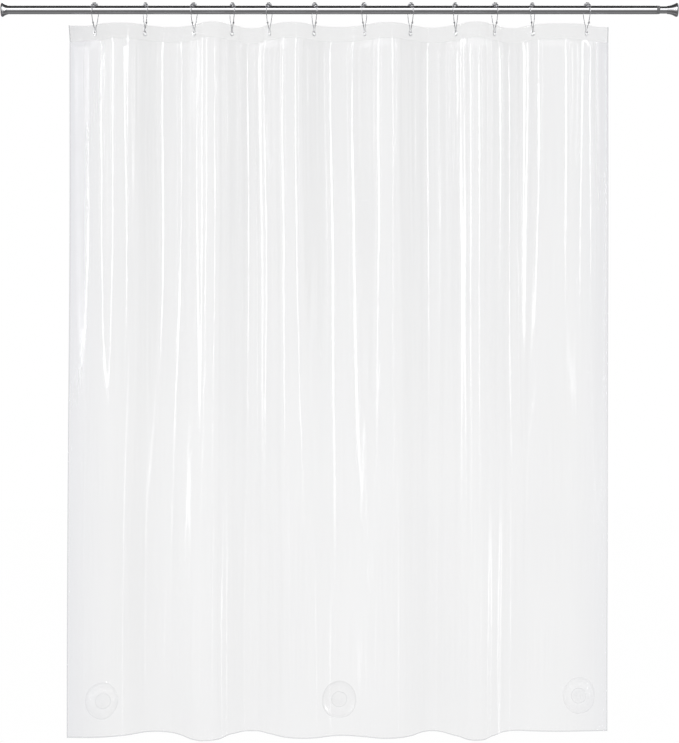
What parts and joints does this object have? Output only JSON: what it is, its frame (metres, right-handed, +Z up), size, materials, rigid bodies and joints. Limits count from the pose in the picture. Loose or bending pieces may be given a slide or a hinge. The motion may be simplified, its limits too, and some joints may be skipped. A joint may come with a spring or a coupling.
{
  "type": "shower curtain",
  "caption": "Clear film shower curtain with weighted hem, hung by roller rings from an adjustable tension rod that wedges between two walls.",
  "frame": {"origin": "centre of the left wall pad's flat face, on the axis of the rod", "axes": "+X along the rod to the right wall, +Y away from the bather, +Z up"},
  "size_m": [1.727, 0.11, 1.8862],
  "materials": {
    "bright_tube": "polished",
    "end_cap": "polished",
    "pad_rubber": "matte",
    "grip_plastic": "matte",
    "ring_steel": "polished",
    "eyelet": "polished",
    "film": "gloss",
    "weight_clear": "gloss"
  },
  "bodies": {
    "rod_outer": {"outer_tube": "bright_tube", "left_end_cap": "end_cap", "left_wall_pad": "pad_rubber", "tube_bush": "grip_plastic"},
    "rod_grip": {"lock_sleeve": "grip_plastic"},
    "rod_inner": {"inner_tube": "bright_tube", "lock_plug": "grip_plastic", "right_end_cap": "end_cap", "right_wall_pad": "pad_rubber"},
    "ring_01": {"ring_wire_01": "ring_steel", "ring_rollers_01": "ring_steel"},
    "panel_01": {"curtain_panel_01": "film", "grommet_01": "eyelet", "weight_left": "weight_clear"},
    "ring_02": {"ring_wire_02": "ring_steel", "ring_rollers_02": "ring_steel"},
    "panel_02": {"curtain_panel_02": "film", "grommet_02": "eyelet"},
    "ring_03": {"ring_wire_03": "ring_steel", "ring_rollers_03": "ring_steel"},
    "panel_03": {"curtain_panel_03": "film", "grommet_03": "eyelet"},
    "ring_04": {"ring_wire_04": "ring_steel", "ring_rollers_04": "ring_steel"},
    "panel_04": {"curtain_panel_04": "film", "grommet_04": "eyelet"},
    "ring_05": {"ring_wire_05": "ring_steel", "ring_rollers_05": "ring_steel"},
    "panel_05": {"curtain_panel_05": "film", "grommet_05": "eyelet"},
    "ring_06": {"ring_wire_06": "ring_steel", "ring_rollers_06": "ring_steel"},
    "panel_06": {"curtain_panel_06": "film", "grommet_06": "eyelet"},
    "ring_07": {"ring_wire_07": "ring_steel", "ring_rollers_07": "ring_steel"},
    "panel_07": {"curtain_panel_07": "film", "grommet_07": "eyelet"},
    "ring_08": {"ring_wire_08": "ring_steel", "ring_rollers_08": "ring_steel"},
    "panel_08": {"curtain_panel_08": "film", "grommet_08": "eyelet"},
    "ring_09": {"ring_wire_09": "ring_steel", "ring_rollers_09": "ring_steel"},
    "panel_09": {"curtain_panel_09": "film", "grommet_09": "eyelet"},
    "ring_10": {"ring_wire_10": "ring_steel", "ring_rollers_10": "ring_steel"},
    "panel_10": {"curtain_panel_10": "film", "grommet_10": "eyelet"},
    "ring_11": {"ring_wire_11": "ring_steel", "ring_rollers_11": "ring_steel"},
    "panel_11": {"curtain_panel_11": "film", "grommet_11": "eyelet"},
    "ring_12": {"ring_wire_12": "ring_steel", "ring_rollers_12": "ring_steel"},
    "panel_12": {"curtain_panel_12": "film", "grommet_12": "eyelet", "weight_right": "weight_clear"},
    "hem_middle": {"weight_middle": "weight_clear"}
  },
  "joints": [
    {"name": "rod_extend", "type": "slide", "parent": "rod_outer", "child": "rod_grip", "axis": [1, 0, 0], "range_m": [-0.015, 0.6]},
    {"name": "tube_twist", "type": "hinge", "parent": "rod_grip", "child": "rod_inner", "pos_m": [1, 0, 0], "axis": [1, 0, 0], "range_deg": [-90, 90]},
    {"name": "curtain_swing", "type": "hinge", "parent": "rod_outer", "child": "ring_01", "pos_m": [0.239, 0, 0], "axis": [1, 0, 0], "range_deg": [-20, 20]},
    {"name": "curtain_draw", "type": "hinge", "parent": "ring_01", "child": "panel_01", "pos_m": [0.239, 0, -0.06], "axis": [0, 0, -1], "range_deg": [-4, 28]},
    {"name": "fold_01", "type": "hinge", "parent": "panel_01", "child": "panel_02", "pos_m": [0.303, -0.0363, -0.038], "axis": [0, 0, 1], "range_deg": [-8, 56]},
    {"name": "ring_turn_02", "type": "hinge", "parent": "panel_02", "child": "ring_02", "pos_m": [0.367, 0, -0.06], "axis": [0, 0, -1], "range_deg": [-4, 28]},
    {"name": "fold_02", "type": "hinge", "parent": "panel_02", "child": "panel_03", "pos_m": [0.4295, 0.03894, -0.038], "axis": [0, 0, -1], "range_deg": [-8, 56]},
    {"name": "ring_turn_03", "type": "hinge", "parent": "panel_03", "child": "ring_03", "pos_m": [0.492, 0, -0.06], "axis": [0, 0, 1], "range_deg": [-4, 28]},
    {"name": "fold_03", "type": "hinge", "parent": "panel_03", "child": "panel_04", "pos_m": [0.5405, -0.05433, -0.038], "axis": [0, 0, 1], "range_deg": [-8, 56]},
    {"name": "ring_turn_04", "type": "hinge", "parent": "panel_04", "child": "ring_04", "pos_m": [0.589, 0, -0.06], "axis": [0, 0, -1], "range_deg": [-4, 28]},
    {"name": "fold_04", "type": "hinge", "parent": "panel_04", "child": "panel_05", "pos_m": [0.6365, 0.05505, -0.038], "axis": [0, 0, -1], "range_deg": [-8, 56]},
    {"name": "ring_turn_05", "type": "hinge", "parent": "panel_05", "child": "ring_05", "pos_m": [0.684, 0, -0.06], "axis": [0, 0, 1], "range_deg": [-4, 28]},
    {"name": "fold_05", "type": "hinge", "parent": "panel_05", "child": "panel_06", "pos_m": [0.7415, -0.04589, -0.038], "axis": [0, 0, 1], "range_deg": [-8, 56]},
    {"name": "ring_turn_06", "type": "hinge", "parent": "panel_06", "child": "ring_06", "pos_m": [0.799, 0, -0.06], "axis": [0, 0, -1], "range_deg": [-4, 28]},
    {"name": "fold_06", "type": "hinge", "parent": "panel_06", "child": "panel_07", "pos_m": [0.863, 0.0363, -0.038], "axis": [0, 0, -1], "range_deg": [-8, 56]},
    {"name": "ring_turn_07", "type": "hinge", "parent": "panel_07", "child": "ring_07", "pos_m": [0.927, 0, -0.06], "axis": [0, 0, 1], "range_deg": [-4, 28]},
    {"name": "fold_07", "type": "hinge", "parent": "panel_07", "child": "panel_08", "pos_m": [0.986, -0.04404, -0.038], "axis": [0, 0, 1], "range_deg": [-8, 56]},
    {"name": "ring_turn_08", "type": "hinge", "parent": "panel_08", "child": "ring_08", "pos_m": [1.045, 0, -0.06], "axis": [0, 0, -1], "range_deg": [-4, 28]},
    {"name": "fold_08", "type": "hinge", "parent": "panel_08", "child": "panel_09", "pos_m": [1.1025, 0.04589, -0.038], "axis": [0, 0, -1], "range_deg": [-8, 56]},
    {"name": "ring_turn_09", "type": "hinge", "parent": "panel_09", "child": "ring_09", "pos_m": [1.16, 0, -0.06], "axis": [0, 0, 1], "range_deg": [-4, 28]},
    {"name": "fold_09", "type": "hinge", "parent": "panel_09", "child": "panel_10", "pos_m": [1.21, -0.05318, -0.038], "axis": [0, 0, 1], "range_deg": [-8, 56]},
    {"name": "ring_turn_10", "type": "hinge", "parent": "panel_10", "child": "ring_10", "pos_m": [1.26, 0, -0.06], "axis": [0, 0, -1], "range_deg": [-4, 28]},
    {"name": "fold_10", "type": "hinge", "parent": "panel_10", "child": "panel_11", "pos_m": [1.3085, 0.05433, -0.038], "axis": [0, 0, -1], "range_deg": [-8, 56]},
    {"name": "ring_turn_11", "type": "hinge", "parent": "panel_11", "child": "ring_11", "pos_m": [1.357, 0, -0.06], "axis": [0, 0, 1], "range_deg": [-4, 28]},
    {"name": "fold_11", "type": "hinge", "parent": "panel_11", "child": "panel_12", "pos_m": [1.426, -0.02288, -0.038], "axis": [0, 0, 1], "range_deg": [-8, 56]},
    {"name": "ring_turn_12", "type": "hinge", "parent": "panel_12", "child": "ring_12", "pos_m": [1.495, 0, -0.06], "axis": [0, 0, -1], "range_deg": [-4, 28]},
    {"name": "hem_middle_turn", "type": "hinge", "parent": "panel_06", "child": "hem_middle", "pos_m": [0.863, 0.0363, -1.765], "axis": [0, 0, -1], "range_deg": [-4, 28]}
  ],
  "couplings": [
    {"joint": "fold_01", "follows": "curtain_draw", "ratio": 2},
    {"joint": "ring_turn_02", "follows": "curtain_draw", "ratio": 1},
    {"joint": "fold_02", "follows": "curtain_draw", "ratio": 2},
    {"joint": "ring_turn_03", "follows": "curtain_draw", "ratio": 1},
    {"joint": "fold_03", "follows": "curtain_draw", "ratio": 2},
    {"joint": "ring_turn_04", "follows": "curtain_draw", "ratio": 1},
    {"joint": "fold_04", "follows": "curtain_draw", "ratio": 2},
    {"joint": "ring_turn_05", "follows": "curtain_draw", "ratio": 1},
    {"joint": "fold_05", "follows": "curtain_draw", "ratio": 2},
    {"joint": "ring_turn_06", "follows": "curtain_draw", "ratio": 1},
    {"joint": "fold_06", "follows": "curtain_draw", "ratio": 2},
    {"joint": "ring_turn_07", "follows": "curtain_draw", "ratio": 1},
    {"joint": "fold_07", "follows": "curtain_draw", "ratio": 2},
    {"joint": "ring_turn_08", "follows": "curtain_draw", "ratio": 1},
    {"joint": "fold_08", "follows": "curtain_draw", "ratio": 2},
    {"joint": "ring_turn_09", "follows": "curtain_draw", "ratio": 1},
    {"joint": "fold_09", "follows": "curtain_draw", "ratio": 2},
    {"joint": "ring_turn_10", "follows": "curtain_draw", "ratio": 1},
    {"joint": "fold_10", "follows": "curtain_draw", "ratio": 2},
    {"joint": "ring_turn_11", "follows": "curtain_draw", "ratio": 1},
    {"joint": "fold_11", "follows": "curtain_draw", "ratio": 2},
    {"joint": "ring_turn_12", "follows": "curtain_draw", "ratio": 1},
    {"joint": "hem_middle_turn", "follows": "curtain_draw", "ratio": 1}
  ]
}
